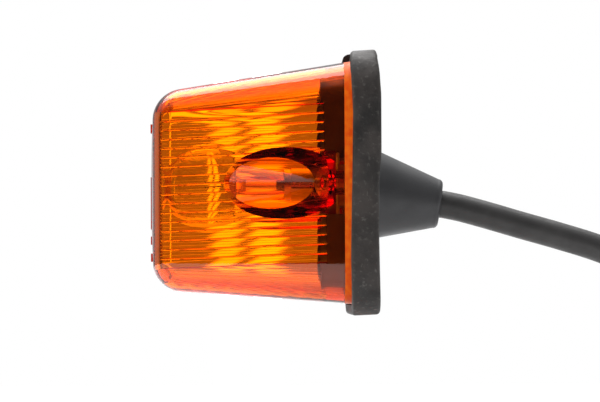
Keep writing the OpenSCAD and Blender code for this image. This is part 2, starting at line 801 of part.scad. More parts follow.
module wire_earth() {
    barrel = [rivet_spacing / 2, -barrel_x, plate_top_z + sheet_t + barrel_d / 2];
    out = [wire_out_x, -boot_drop + core_off - core_d / 2, wire_z];
    turn = barrel + [-earth_turn, -barrel_l - 5.2, core_d / 5];
    color([0.1, 0.1, 0.1])
        on_panel()
            sweep([boot_point(core_off, jacket_end - wire_play), [0, -boot_drop + core_off, 1],
                   [0.1, -boot_drop + core_off, plate_z + 1],
                   [wire_bend_x, -boot_drop + core_off - 0.2, wire_z - 0.5],
                   out, between(out, turn, 0.25), between(out, turn, 0.48), between(out, turn, 0.76), turn,
                   barrel + [-0.2, -barrel_l - 3.6, 0.2], barrel + [0, -barrel_l - 1.5, 0],
                   barrel + [0, 1 - barrel_l, 0], barrel + [0, -0.5, 0]],
                  wire_r, 8, [0.3, 0.4, 1]);
}

// A crimped ring on the jacket, which keeps the lead from being pulled out of the boot
grip_t = 0.9;
grip_l = 4;
grip_play = 0.05;

module cable_grip() {
    color([0.7, 0.7, 0.68])
        on_panel()
            along_boot() translate([0, 0, jacket_end + sink])
                difference() {
                    cylinder(d = lead_d + 2 * grip_t, h = grip_l);
                    translate([0, 0, -over]) cylinder(d = lead_d + grip_play, h = grip_l + 2 * over);
                }
}

module cable_inner() {
    color([0.2, 0.2, 0.2])
        on_panel() along_boot() translate([0, 0, jacket_end]) cylinder(d = lead_d, h = boot_l - jacket_end);
}

// The lead outside the boot, in the lamp's own axes: it droops, and is put away in a coil on a surface
boot_tip = [0, boot_l * cos(boot_droop), -boot_drop - boot_l * sin(boot_droop)];
route = [[0, 18.8, -5.3], [0, 20.4, -5.55], [0, 24, -6.3], [0, 28, -7.35], [0, 35, -9.35], [0, 42, -11.45],
         [0, 54, -14.9], [0, 65, -18.4], [0, 75, -22.6], [0, 84, -28], [0, 93, -34.9], [0, 101, -41.1],
         [0, 110, -47.2], [0, 119, -50.9]];
route_gap = 0.15;
coil_centre = [-40, 119, -71];
coil_mean_r = 40;
coil_play = 0.1;
coil_in_r = coil_mean_r - lead_d - coil_play;
coil_out_r = coil_mean_r + lead_d + coil_play;
coil_h = 2 * lead_d;
coil_edge_r = 3;

module cable() {
    path = concat([boot_tip + [0, route_gap, 0]], [for (k = [1 : len(route) - 1]) route[k]]);
    color([0.22, 0.22, 0.22]) sweep(path, lead_d / 2, 10, [1, 0, 0]);
}

module cable_coil() {
    mid = (coil_in_r + coil_out_r) / 2;
    half = (coil_out_r - coil_in_r) / 2;
    color([0.22, 0.22, 0.22])
        translate(coil_centre)
            rotate_extrude($fn = 72)
                translate([mid, coil_h / 2]) {
                    square([2 * half, coil_h - 2 * coil_edge_r], center = true);
                    square([2 * (half - coil_edge_r), coil_h], center = true);
                    for (x = [-1, 1], y = [-1, 1])
                        translate([x * (half - coil_edge_r), y * (coil_h / 2 - coil_edge_r)])
                            circle(coil_edge_r);
                }
}

tie_t = 0.6;
tie_w = 4.5;
tie_room = 0.1;
latch_l = 5;
latch_h = 3;
latch_side = 1;

module cable_tie() {
    half_in = lead_d + coil_play + tie_room;
    color([0.1, 0.1, 0.1])
        translate([coil_centre[0] - coil_mean_r, coil_centre[1], coil_centre[2]]) {
            difference() {
                translate([-half_in - tie_t, -tie_w / 2, -tie_room - tie_t])
                    cube([2 * (half_in + tie_t), tie_w, coil_h + 2 * (tie_room + tie_t)]);
                translate([-half_in, -tie_w, -tie_room])
                    cube([2 * half_in, 2 * tie_w, coil_h + 2 * tie_room]);
            }
            translate([-latch_h, -tie_w / 2 - latch_side, coil_h + tie_t])
                cube([latch_l, tie_w + 2 * latch_side, latch_h]);
        }
}

// The free end leaves the coil's outer turn in a straight line and is stripped to its two cores
leave_angle = -36;
leave_play = 0.05;
leave_r = coil_mean_r + lead_d / 2 + leave_play;
end_start = 27;
end_l = 18;
core_l = 12;
core_gap = 0.3;
core_lift_angle = 6;
core_spread_angle = 8;
ferrule_l = 6;
ferrule_d = 1.2;

module at_free_end() {
    translate([coil_centre[0] + leave_r * cos(leave_angle), coil_centre[1] + leave_r * sin(leave_angle),
               coil_centre[2] + lead_d / 2])
        rotate([0, 0, leave_angle])
            rotate([-90, 0, 0]) children();
}

module cable_end() {
    color([0.22, 0.22, 0.22]) at_free_end() translate([0, 0, end_start]) cylinder(d = lead_d, h = end_l);
}

module free_core(side) {
    at_free_end() translate([side * core_off, 0, end_start + end_l])
        rotate([-core_lift_angle, side * core_spread_angle, 0]) children();
}

module core_live_end() {
    color([0.5, 0.27, 0.12]) free_core(1) translate([0, 0, core_gap]) cylinder(d = core_d, h = core_l);
}

module core_earth_end() {
    color([0.1, 0.1, 0.1]) free_core(-1) translate([0, 0, core_gap]) cylinder(d = core_d, h = core_l);
}

module core_ferrules() {
    color([0.8, 0.8, 0.78])
        for (side = [-1, 1])
            free_core(side) translate([0, 0, core_l + core_gap]) cylinder(d = ferrule_d, h = ferrule_l);
}

lens();
gasket();
base_plate();
cable_boot();
bulb_holder();
holder_bracket();
bracket_rivets();
contact_leaf();
leaf_block();
leaf_rivet();
bulb_cap();
bulb_glass();
bulb_stem();
bulb_filament();
bulb_insulator();
bulb_contact();
live_terminal();
earth_terminal();
wire_live();
wire_earth();
cable_grip();
cable_inner();
cable();
cable_coil();
cable_tie();
cable_end();
core_live_end();
core_earth_end();
core_ferrules();
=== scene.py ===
import math

import bpy
from mathutils import Matrix, Vector


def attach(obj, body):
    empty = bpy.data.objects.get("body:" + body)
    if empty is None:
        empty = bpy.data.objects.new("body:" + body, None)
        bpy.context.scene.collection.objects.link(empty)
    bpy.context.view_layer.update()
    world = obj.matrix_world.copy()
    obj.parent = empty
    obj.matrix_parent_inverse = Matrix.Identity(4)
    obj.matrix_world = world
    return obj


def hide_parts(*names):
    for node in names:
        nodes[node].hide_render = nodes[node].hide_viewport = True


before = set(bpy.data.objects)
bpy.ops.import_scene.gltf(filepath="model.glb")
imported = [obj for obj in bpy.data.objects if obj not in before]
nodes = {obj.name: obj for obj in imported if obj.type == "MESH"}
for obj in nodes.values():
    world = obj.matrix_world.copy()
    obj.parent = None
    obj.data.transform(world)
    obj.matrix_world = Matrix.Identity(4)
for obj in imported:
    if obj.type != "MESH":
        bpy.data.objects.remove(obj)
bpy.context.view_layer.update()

# The camera. It stands 1.25 m off the lamp's right-hand end, a little lower than the lamp, with a long lens,
# and looks at the middle of the picture. It leans a quarter of a degree, as the lamp lies that much askew.
SENSOR_W_MM, FOCAL_LENGTH_MM = 36, 255
camera_place = Vector((1.25, -0.0319, -0.031))
camera_aim = Vector((0.0, -0.0225, -0.0042))
camera_lean = math.radians(-0.25)
camera = bpy.data.objects.new("camera", bpy.data.cameras.new("camera"))
bpy.context.collection.objects.link(camera)
bpy.context.scene.camera = camera
camera.data.sensor_width = SENSOR_W_MM
camera.data.lens = FOCAL_LENGTH_MM
camera.data.clip_start = 0.01
look = (camera_aim - camera_place).to_track_quat("-Z", "Y").to_matrix().to_4x4()
camera.matrix_world = Matrix.Translation(camera_place) @ look @ Matrix.Rotation(camera_lean, 4, "Z")

# The lead. A round two core lead in a dark grey jacket, 8 mm thick. It comes straight out of the boot, droops
# to the surface below and is wound there into a coil of three turns, two side by side and one on top. Its end
# is stripped.
LEAD_D = 0.008
lead_exit = (0.0, 0.018734, -0.0053)
before_exit = Vector(lead_exit) - Vector((0, 0.005, -0.0007))
route_mm = [(0, 20.4, -5.55), (0, 24, -6.3), (0, 28, -7.35), (0, 35, -9.35), (0, 42, -11.45), (0, 54, -14.9),
            (0, 65, -18.4), (0, 75, -22.6), (0, 84, -28), (0, 93, -34.9), (0, 101, -41.1), (0, 110, -47.2)]
route = [Vector(lead_exit)] + [Vector(p) / 1000 for p in route_mm]
ROUTE_STEPS = 6
COIL_CENTRE = Vector((-0.040, 0.119, 0.0))
COIL_LOW, COIL_HIGH, COIL_R, COIL_HALF_PITCH = -0.067, -0.059, 0.040, 0.00405
COIL_TURNS, COIL_POINTS_A_TURN = 2.9, 120
# The lead comes down on the coil, drops to its lower layer and steps out there, each in this share of a turn.
CHANGE_TURN, DROP_TURN, STEP_OUT_TURN = 0.12, 1.0, 1.9
ARRIVE_HEIGHT, ARRIVE_SLOPE = 0.0081, 0.0124
END_STEP, END_STEPS = 0.0045, 10


def step(t, start, end):
    """0 before start, 1 after end, and smooth between."""
    s = min(1.0, max(0.0, (t - start) / (end - start)))
    return s * s * (3 - 2 * s)


def coil_point(turn):
    """The lead's middle after that many turns of the coil."""
    inner, outer = COIL_R - COIL_HALF_PITCH, COIL_R + COIL_HALF_PITCH
    dropped = step(turn, DROP_TURN, DROP_TURN + CHANGE_TURN)
    stepped_out = step(turn, STEP_OUT_TURN, STEP_OUT_TURN + CHANGE_TURN)
    r = COIL_R + (inner - COIL_R) * dropped + (outer - inner) * stepped_out
    z = COIL_HIGH + (COIL_LOW - COIL_HIGH) * dropped
    if turn < CHANGE_TURN:
        u = turn / CHANGE_TURN
        z += ARRIVE_HEIGHT * (2 * u ** 3 - 3 * u ** 2 + 1) - ARRIVE_SLOPE * (u ** 3 - 2 * u ** 2 + u)
    angle = 2 * math.pi * turn
    return COIL_CENTRE + Vector((r * math.cos(angle), r * math.sin(angle), z))


coil = [coil_point(k / COIL_POINTS_A_TURN) for k in range(int(COIL_TURNS * COIL_POINTS_A_TURN) + 1)]
knots = [before_exit] + route + coil[:2]
lead_path = []
for before, a, b, after in zip(knots, knots[1:], knots[2:], knots[3:]):
    for i in range(ROUTE_STEPS):
        t = i / ROUTE_STEPS
        lead_path.append(0.5 * (2 * a + (b - before) * t + (2 * before - 5 * a + 4 * b - after) * t ** 2
                                + (3 * a - before - 3 * b + after) * t ** 3))
lead_path += coil
leave = (coil[-1] - coil[-2]).normalized()
lead_path += [coil[-1] + leave * END_STEP * k for k in range(1, END_STEPS + 1)]
lead_curve = bpy.data.curves.new("lead", "CURVE")
lead_curve.dimensions = "3D"
lead_curve.bevel_depth = LEAD_D / 2
lead_curve.bevel_resolution = 6
lead_curve.use_fill_caps = True
lead_line = lead_curve.splines.new("POLY")
lead_line.points.add(len(lead_path) - 1)
for point, place in zip(lead_line.points, lead_path):
    point.co = (*place, 1)
lead_line.use_smooth = True
lead = bpy.data.objects.new("lead", lead_curve)
bpy.context.collection.objects.link(lead)


def new_material(name, colour, roughness, metallic=0.0):
    """A material with one Principled shader, and the pieces needed to wire more into it."""
    material = bpy.data.materials.new(name)
    material.use_nodes = True
    tree = material.node_tree
    shader = tree.nodes["Principled BSDF"]
    shader.inputs["Base Color"].default_value = (*colour, 1)
    shader.inputs["Roughness"].default_value = roughness
    shader.inputs["Metallic"].default_value = metallic
    return material, tree, shader


def noise(tree, scale, detail=3.0, rough=0.5, stretch=(1, 1, 1)):
    """A noise pattern fixed to the piece. The scale counts patterns to the metre."""
    place = tree.nodes.new("ShaderNodeTexCoord")
    size = tree.nodes.new("ShaderNodeMapping")
    size.inputs["Scale"].default_value = stretch
    pattern = tree.nodes.new("ShaderNodeTexNoise")
    pattern.inputs["Scale"].default_value = scale
    pattern.inputs["Detail"].default_value = detail
    pattern.inputs["Roughness"].default_value = rough
    tree.links.new(place.outputs["Object"], size.inputs["Vector"])
    tree.links.new(size.outputs["Vector"], pattern.inputs["Vector"])
    return pattern.outputs["Fac"]


def ramp(tree, value, stops):
    """Turns a value from 0 to 1 into a colour by stops of (place, colour)."""
    node = tree.nodes.new("ShaderNodeValToRGB")
    while len(node.color_ramp.elements) < len(stops):
        node.color_ramp.elements.new(0.5)
    for element, (place, colour) in zip(node.color_ramp.elements, stops):
        element.position = place
        element.color = (*colour, 1) if hasattr(colour, "__len__") else (colour, colour, colour, 1)
    tree.links.new(value, node.inputs["Fac"])
    return node.outputs["Color"]


def bump(tree, shader, height, distance):
    """Small relief of that depth in metres."""
    node = tree.nodes.new("ShaderNodeBump")
    node.inputs["Distance"].default_value = distance
    tree.links.new(height, node.inputs["Height"])
    tree.links.new(node.outputs["Normal"], shader.inputs["Normal"])


def dress(names, material):
    """Gives pieces of the CAD model a better material."""
    for name in names:
        nodes[name].data.materials.clear()
        nodes[name].data.materials.append(material)


jacket, tree, shader = new_material("lead_jacket", (0.042, 0.040, 0.040), 0.5)
tree.links.new(ramp(tree, noise(tree, 120, 4), [(0.35, (0.036, 0.034, 0.034)), (0.7, (0.052, 0.050, 0.049))]),
               shader.inputs["Base Color"])
tree.links.new(ramp(tree, noise(tree, 300, 3), [(0.3, 0.42), (0.7, 0.58)]), shader.inputs["Roughness"])
bump(tree, shader, noise(tree, 1400, 3), 0.00005)
lead.data.materials.append(jacket)
dress(["cable_inner"], jacket)
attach(lead, "root")
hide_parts("cable", "cable_coil", "cable_end")

# The lens. One moulding of clear amber acrylic, 2.2 mm thick, with fluted walls, ribs across the inside of
# its front and two wells for the fixing screws. It stands in the gasket's groove, where the screws clamp it.
# Its sizes are in millimetres, drawn as it lies on the vehicle: x across, y up and z out of the panel.
LENS_W, LENS_H, LENS_DEPTH, LENS_WALL = 115.8, 69.1, 59.2, 2.2
END_SLOPE, SIDE_SLOPE = math.radians(31), math.radians(5.9)
FOOT_Z, FRONT_Z, FRONT_DROP, FRONT_CROWN, FRONT_EDGE_R = 6.9, 66.1, 1.6, 0.8, 8.8
FOOT_CORNER_R, FRONT_CORNER_R = 12.0, 8.0
DROP_ANGLE = math.atan(FRONT_DROP / LENS_DEPTH)
FOOT_BAND, EDGE_GAP = 3.4, 0.3
EDGE_STEPS, CROWN_STEPS = 24, 9


def wall_half_w(z):
    """Half the width across the end walls at that height."""
    return LENS_W / 2 - (z - FOOT_Z) * math.tan(END_SLOPE)


def wall_half_h(z):
    """Half the height across the top and bottom walls there."""
    return LENS_H / 2 - (z - FOOT_Z) * math.tan(SIDE_SLOPE)


def mid_y(z):
    """The middle between top and bottom there. It drops towards the front."""
    return -FRONT_DROP * (z - FOOT_Z) / LENS_DEPTH


def rounded_half(half, z, slope, top, r, half_at_centre):
    """Half the size of a wall that leans in and rounds into the flat front at top with the radius r."""
    if z - (top - r) <= r * math.sin(slope):
        return half
    return half_at_centre - r / math.cos(slope) + math.sqrt(max(0.0, r * r - (z - (top - r)) ** 2))


def outline(half_w, half_h, r, steps=20, near=0.3):
    """A rounded rectangle, with a point near each end of each straight run to keep the flat parts flat."""
    points = []
    for quarter, (sx, sy) in enumerate(((1, 1), (-1, 1), (-1, -1), (1, -1))):
        cx, cy = sx * (half_w - r), sy * (half_h - r)
        angles = [math.pi / 2 * (quarter + k / steps) for k in range(steps + 1)]
        arc = [(cx + r * math.cos(a), cy + r * math.sin(a)) for a in angles]
        before = math.pi / 2 * quarter - math.pi / 2
        after = math.pi / 2 * (quarter + 1) + math.pi / 2
        points.append((arc[0][0] + near * math.cos(before), arc[0][1] + near * math.sin(before)))
        points += arc
        points.append((arc[-1][0] + near * math.cos(after), arc[-1][1] + near * math.sin(after)))
    return points


def lens_ring(z, inset):
    """The lens's outline at that height, drawn in by the inset."""
    top, r = FRONT_Z - FRONT_CROWN - inset, FRONT_EDGE_R - inset
    in_w, in_h = inset / math.cos(END_SLOPE), inset / math.cos(SIDE_SLOPE)
    half_h_wall = wall_half_h(z) - in_h
    half_w = rounded_half(wall_half_w(z) - in_w, z, END_SLOPE, top, r, wall_half_w(top - r) - in_w)
    half_h = rounded_half(half_h_wall, z, SIDE_SLOPE, top, r, wall_half_h(top - r) - in_h)
    share = max(0.0, min(1.0, (z - FOOT_Z) / LENS_DEPTH))
    corner = FOOT_CORNER_R + (FRONT_CORNER_R - FOOT_CORNER_R) * share - inset - (half_h_wall - half_h)
    return [(x, y + mid_y(z), z) for x, y in outline(half_w, half_h, max(1.0, corner))]


def crown_ring(s, inset):
    """A ring of the bulging front face, at the share s of its outline."""
    z = FRONT_Z - FRONT_CROWN - inset
    crown_z = FRONT_Z - inset - FRONT_CROWN * s * s
    return [(x * s, mid_y(z) + (y - mid_y(z)) * s, crown_z) for x, y, _ in lens_ring(z, inset)]


def skin(name, rings):
    """A closed solid over rings of equal count."""
    n, last = len(rings[0]), len(rings) - 1
    faces = [(k * n + i, k * n + (i + 1) % n, (k + 1) * n + (i + 1) % n, (k + 1) * n + i)
             for k in range(last) for i in range(n)]
    faces += [tuple(range(n - 1, -1, -1)), tuple(last * n + i for i in range(n))]
    mesh = bpy.data.meshes.new(name)
    mesh.from_pydata([p for ring in rings for p in ring], [], faces)
    piece = bpy.data.objects.new(name, mesh)
    bpy.context.collection.objects.link(piece)
    return piece


def lens_form(name, inset, from_z):
    """The lens's outer shape as a solid, drawn in by the inset on all sides but its foot."""
    top, r = FRONT_Z - FRONT_CROWN - inset, FRONT_EDGE_R - inset
    turn = math.pi / 2 - SIDE_SLOPE
    edge = [top - r + r * math.sin(SIDE_SLOPE + turn * k / EDGE_STEPS) for k in range(EDGE_STEPS + 1)]
    rings = [lens_ring(z, inset) for z in [from_z, FOOT_Z + FOOT_BAND, edge[0] - EDGE_GAP] + edge]
    rings += [crown_ring(1 - k / CROWN_STEPS, inset) for k in range(1, CROWN_STEPS)]
    return skin(name, rings)


def rod(name, r, low, high, x=0.0, y=0.0, steps=96):
    """A closed cylinder along z."""
    angles = [2 * math.pi * k / steps for k in range(steps)]
    return skin(name, [[(x + r * math.cos(a), y + r * math.sin(a), z) for a in angles] for z in (low, high)])


def combine(piece, tool, how):
    """Joins a tool to a piece, cuts it out, or keeps what both share, and clears the tool away."""
    change = piece.modifiers.new("change", "BOOLEAN")
    change.operation = how
    change.solver = "MANIFOLD"
    change.object = tool
    bpy.context.view_layer.update()
    done = bpy.data.meshes.new_from_object(piece.evaluated_get(bpy.context.evaluated_depsgraph_get()))
    piece.modifiers.clear()
    old = piece.data
    piece.data = done
    bpy.data.meshes.remove(old)
    bpy.data.objects.remove(tool)


def bar(name, profile, length):
    """A closed bar of that outline in x and y, along z from 0."""
    return skin(name, [[(x, y, z) for x, y in profile] for z in (0.0, length)])


def set_in_metres(piece, sharp=math.radians(20)):
    """Turns a piece drawn in millimetres on the panel to the lamp's axes in metres and smooths its curves."""
    piece.data.transform(Matrix.Scale(0.001, 4) @ Matrix.Rotation(math.pi / 2, 4, "X"))
    piece.data.polygons.foreach_set("use_smooth", [True] * len(piece.data.polygons))
    piece.data.set_sharp_from_angle(angle=sharp)
    piece.data.update()


FLUTE_START_Z, FLUTE_PITCH, FLUTE_DEPTH, RIDGE_W, FLUTE_STEPS = 15.2, 2.65, 0.35, 0.25, 32
# The far end's flutes are a little wider and shallower, and fall in line with the near ones for the camera.
FAR_FLUTES = {"pitch": 2.84, "shift": -0.58, "hollow": 0.02, "ridge": 0.10}
TOOL_INSET = LENS_WALL - FLUTE_DEPTH - 0.3


def flute_profile(count, back=4.0, pitch=FLUTE_PITCH, shift=0.0, hollow=0.04, ridge=0.28):
    """A row of shallow flutes with a fine round ridge between each two, to be cut into a wall along x = 0."""
    points = [(-back, shift - (count + 0.5) * pitch)]
    half, foot = pitch / 2, pitch / 2 - RIDGE_W
    for i in range(-count, count + 1):
        for k in range(FLUTE_STEPS + 1):
            y = half * (2 * k / FLUTE_STEPS - 1)
            if abs(y) < foot:
                x = FLUTE_DEPTH - hollow * (y / foot) ** 2
            else:
                x = FLUTE_DEPTH - hollow - ridge * (0.5 - 0.5 * math.cos(math.pi * (abs(y) - foot) / RIDGE_W))
            if k or i == -count:
                points.append((x, shift + i * pitch + y))
    points.append((-back, shift + (count + 0.5) * pitch))
    return points


lens = lens_form("lens_shell", 0.0, FOOT_Z)
combine(lens, lens_form("hollow", LENS_WALL, FOOT_Z - 1), "DIFFERENCE")
end_count = int((LENS_H / 2 - FOOT_CORNER_R - FLUTE_PITCH / 2) / FLUTE_PITCH)
side_count = int((wall_half_w(FLUTE_START_Z) - FOOT_CORNER_R / 2) / FLUTE_PITCH)
for far in (False, True):
    profile = flute_profile(end_count, **FAR_FLUTES) if far else flute_profile(end_count)
    flutes = bar("end_flutes", profile, LENS_DEPTH / math.cos(END_SLOPE))
    half_w = wall_half_w(FLUTE_START_Z) - LENS_WALL / math.cos(END_SLOPE)
    flutes.data.transform(Matrix.Translation((half_w, mid_y(FLUTE_START_Z), FLUTE_START_Z))
                          @ Matrix.Rotation(-END_SLOPE, 4, "Y")
                          @ Matrix.Rotation(math.atan(math.tan(DROP_ANGLE) * math.cos(END_SLOPE)), 4, "X"))
    if far:
        flutes.data.transform(Matrix.Scale(-1, 4, (1, 0, 0)))
        flutes.data.flip_normals()
    combine(flutes, lens_form("skin", TOOL_INSET, FOOT_Z - 1), "INTERSECT")
    combine(lens, flutes, "DIFFERENCE")
for up in (1, -1):
    flutes = bar("side_flutes", [(-y, x) for x, y in flute_profile(side_count, back=0.8)], LENS_DEPTH)
    half_h = wall_half_h(FLUTE_START_Z) - LENS_WALL / math.cos(SIDE_SLOPE)
    flutes.data.transform(Matrix.Rotation(SIDE_SLOPE + up * DROP_ANGLE, 4, "X"))
    if up < 0:
        flutes.data.transform(Matrix.Scale(-1, 4, (0, 1, 0)))
        flutes.data.flip_normals()
    flutes.data.transform(Matrix.Translation((0, mid_y(FLUTE_START_Z) + up * half_h, FLUTE_START_Z)))
    combine(flutes, lens_form("skin", TOOL_INSET, FOOT_Z - 1), "INTERSECT")
    combine(lens, flutes, "DIFFERENCE")

# The ribs across the inside of the front.
RIB_PITCH, RIB_DEPTH, RIB_LAND, RIB_TOOL_T = 0.95, 0.3, 0.04, 3
rib_half_h = wall_half_h(FRONT_Z) - FRONT_EDGE_R + 1
rib_half_w = wall_half_w(FRONT_Z) - FRONT_EDGE_R / 2 + 1
ribs = int(rib_half_h / RIB_PITCH)
inner_z = FRONT_Z - FRONT_CROWN - LENS_WALL
teeth = [(-(ribs + 0.5) * RIB_PITCH, inner_z - RIB_TOOL_T)]
for i in range(-ribs, ribs + 1):
    teeth += [((i - 0.5) * RIB_PITCH + RIB_LAND, inner_z), (i * RIB_PITCH, inner_z + RIB_DEPTH),
              ((i + 0.5) * RIB_PITCH - RIB_LAND, inner_z)]
teeth.append(((ribs + 0.5) * RIB_PITCH, inner_z - RIB_TOOL_T))
ribs_tool = skin("ribs", [[(x, mid_y(FRONT_Z) + y, z) for y, z in teeth] for x in (rib_half_w, -rib_half_w)])
combine(ribs_tool, lens_form("skin", TOOL_INSET, FOOT_Z - 1), "INTERSECT")
combine(lens, ribs_tool, "DIFFERENCE")

# The two screw wells, each with a sleeve under its floor, which stands on the base plate.
SCREW_X, SCREW_HOLE_D, WELL_D, WELL_OUT_R, SLEEVE_D = 43.5, 4.6, 14.6, 10.2, 7.0
WELL_FLOOR_TOP_Z, WELL_FLOOR_BACK_Z, BOSS_TOP_Z = 14.3, 12.3, 8.9
WELL_TOOL_Z, BORE_TOOL_Z, SLEEVE_OVERLAP = 60, 70, 0.5
for x in (SCREW_X, -SCREW_X):
    well = rod("well", WELL_OUT_R, WELL_FLOOR_BACK_Z, WELL_TOOL_Z, x)
    combine(well, lens_form("skin", LENS_WALL / 2, FOOT_Z), "INTERSECT")
    combine(lens, well, "UNION")
    combine(lens, rod("sleeve", SLEEVE_D / 2, BOSS_TOP_Z, WELL_FLOOR_BACK_Z + SLEEVE_OVERLAP, x), "UNION")


def plate(name, half_w, half_h, r, low, high, steps=16):
    """A closed flat plate with rounded corners."""
    return skin(name, [[(x, y, z) for x, y in outline(half_w, half_h, r, steps)] for z in (low, high)])


# The thick rim of the foot, and four raised marks on the front.
FOOT_T, FOOT_RIM_W, FOOT_RIM_H, FOOT_INNER_R = 2.4, 3.9, 3.2, 8.8
foot = lens_form("foot", LENS_WALL / 3, FOOT_Z)
combine(foot, plate("foot_outside", LENS_W / 2, LENS_H / 2, FOOT_CORNER_R,
                    FOOT_Z - 1, FOOT_Z + FOOT_T, 20), "INTERSECT")
combine(foot, plate("foot_inside", LENS_W / 2 - FOOT_RIM_W, LENS_H / 2 - FOOT_RIM_H, FOOT_INNER_R,
                    FOOT_Z - 2, FOOT_Z + 4, 20), "DIFFERENCE")
combine(lens, foot, "UNION")
MARKS, MARK_HALF_W, MARK_RAISE = ((18.7, 2.6), (-3.2, 15.3), (-14.1, 2.4), (-19.1, 2.4)), 3.5, 0.2
for middle, height in MARKS:
    low, high = mid_y(FRONT_Z) + middle - height / 2, mid_y(FRONT_Z) + middle + height / 2
    corners = [(-MARK_HALF_W, low), (MARK_HALF_W, low), (MARK_HALF_W, high), (-MARK_HALF_W, high)]
    combine(lens, skin("mark", [[(x, y, z) for x, y in corners]
                                for z in (FRONT_Z - FRONT_CROWN - 1, FRONT_Z + MARK_RAISE)]), "UNION")
for x in (SCREW_X, -SCREW_X):
    combine(lens, rod("bore", WELL_D / 2, WELL_FLOOR_TOP_Z, BORE_TOOL_Z, x), "DIFFERENCE")
    combine(lens, rod("hole", SCREW_HOLE_D / 2, 0, FRONT_Z, x, steps=48), "DIFFERENCE")
set_in_metres(lens)
# The plain walls and the flutes are flat faces, so that light goes straight through them.
# The limits are in metres.
WELL_REACH_Z, WELL_FRONT_Y, PLAIN_NORMAL = 0.009, -0.046, 0.985
for face in lens.data.polygons:
    centre, normal = face.center, face.normal
    inward = normal.x * centre.x + normal.z * centre.z < 0
    clear_of_well = abs(centre.z) > WELL_REACH_Z or centre.y < WELL_FRONT_Y
    plain_wall = max(abs(normal.x), abs(normal.z)) > PLAIN_NORMAL and not inward
    if plain_wall or (inward and clear_of_well):
        face.use_smooth = False

amber, tree, shader = new_material("amber_acrylic", (1.0, 1.0, 1.0), 0.02)
shader.inputs["Transmission Weight"].default_value = 1.0
shader.inputs["IOR"].default_value = 1.49
dye = tree.nodes.new("ShaderNodeVolumeAbsorption")
dye.inputs["Color"].default_value = (0.995, 0.84, 0.0, 1)
dye.inputs["Density"].default_value = 2850.0
tree.links.new(dye.outputs["Volume"], tree.nodes["Material Output"].inputs["Volume"])
matt_foot, tree, shader = new_material("matt_foot", (0.95, 0.12, 0.002), 0.35)
tree.links.new(ramp(tree, noise(tree, 500, 4), [(0.35, (0.88, 0.085, 0.001)), (0.65, (1.0, 0.17, 0.003))]),
               shader.inputs["Base Color"])
shader.inputs["Specular IOR Level"].default_value = 0.1
lens.data.materials.clear()
lens.data.materials.append(amber)
lens.data.materials.append(matt_foot)
# The foot's outer faces and the raised marks have the matt finish.
FOOT_OUT_X, FOOT_OUT_Z, FOOT_FRONT_Y, MARK_BACK_Y, MARK_REACH_X = 0.0495, 0.030, -0.0104, -0.06612, 0.0036
for face in lens.data.polygons:
    centre, normal = face.center, face.normal
    outward = normal.x * centre.x + normal.z * centre.z > 0
    at_rim = abs(centre.x) > FOOT_OUT_X or abs(centre.z) > FOOT_OUT_Z
    on_foot = at_rim and outward and centre.y > FOOT_FRONT_Y
    on_mark = centre.y < MARK_BACK_Y and abs(centre.x) < MARK_REACH_X and abs(normal.x) < 0.5
    if on_foot or on_mark:
        face.material_index = 1
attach(lens, "root")
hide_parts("lens")

# The gasket. A soft black rubber moulding, 8 mm thick, with a groove for the lens's foot, a seat for the base
# plate and a window for the boot. The screws squeeze it, so its edges wave a little and it has crept upwards
# at its back.
GASKET_HALF_W, GASKET_HALF_H, GASKET_CORNER_R, GASKET_T, EDGE_R = 60.3, 37.75, 14.4, 8.1, 1.1
PLATE_Z, PLATE_HALF_W, PLATE_HALF_H, PLATE_CORNER_R = 3.1, 53.3, 29.95, 8.8
WINDOW_HALF_W, WINDOW_HALF_H, WINDOW_CORNER_R, FIT_GAP = 35, 25, 8, 0.3
TOOL_LOW, TOOL_HIGH = -2, 14
# How far the rubber's front and back stand out at each height, and how much its top and bottom are drawn in.
FRONT_WAVE = ((-35, 0.28), (-22, 0.56), (-7, 0.28), (9, -0.22), (24, -0.22), (32.9, 0.5), (38, 0.3))
BACK_WAVE = ((-35, 0.3), (-22, 0.85), (-2, 0.7), (9, 0.0), (24, 0.0), (29, 0.3), (38, 1.1))
TOP_DRAWN_IN, BOTTOM_DRAWN_IN = 0.45, 0.35
WAVE_MEAN, WAVE_SWING, WAVE_RATE, WAVE_PHASE, WAVE_TO_X = 0.6, 0.4, 0.11, 2.1, 40
LIP_HALF_W, LIP_Y, LIP_HALF_H, LIP_Z, LIP_HALF_T, LIP_STEPS = 24, 36.0, 1.6, 8.1, 2.1, 16
ROUND_STEPS, SIDE_STEPS = 6, 6


def along(table, value):
    """Reads a value off a table of (place, value) by smooth steps between its places."""
    if value <= table[0][0]:
        return table[0][1]
    for (x0, y0), (x1, y1) in zip(table, table[1:]):
        if value <= x1:
            return y0 + (y1 - y0) * step(value, x0, x1)
    return table[-1][1]


def fine_outline(half_w, half_h, r, step_length=1.5):
    """A rounded rectangle whose straight runs are cut into short steps, so that they can wave."""
    points = outline(half_w, half_h, r, 14)
    fine = []
    for a, b in zip(points, points[1:] + points[:1]):
        count = max(1, round(math.dist(a, b) / step_length))
        fine += [(a[0] + (b[0] - a[0]) * k / count, a[1] + (b[1] - a[1]) * k / count) for k in range(count)]
    return fine


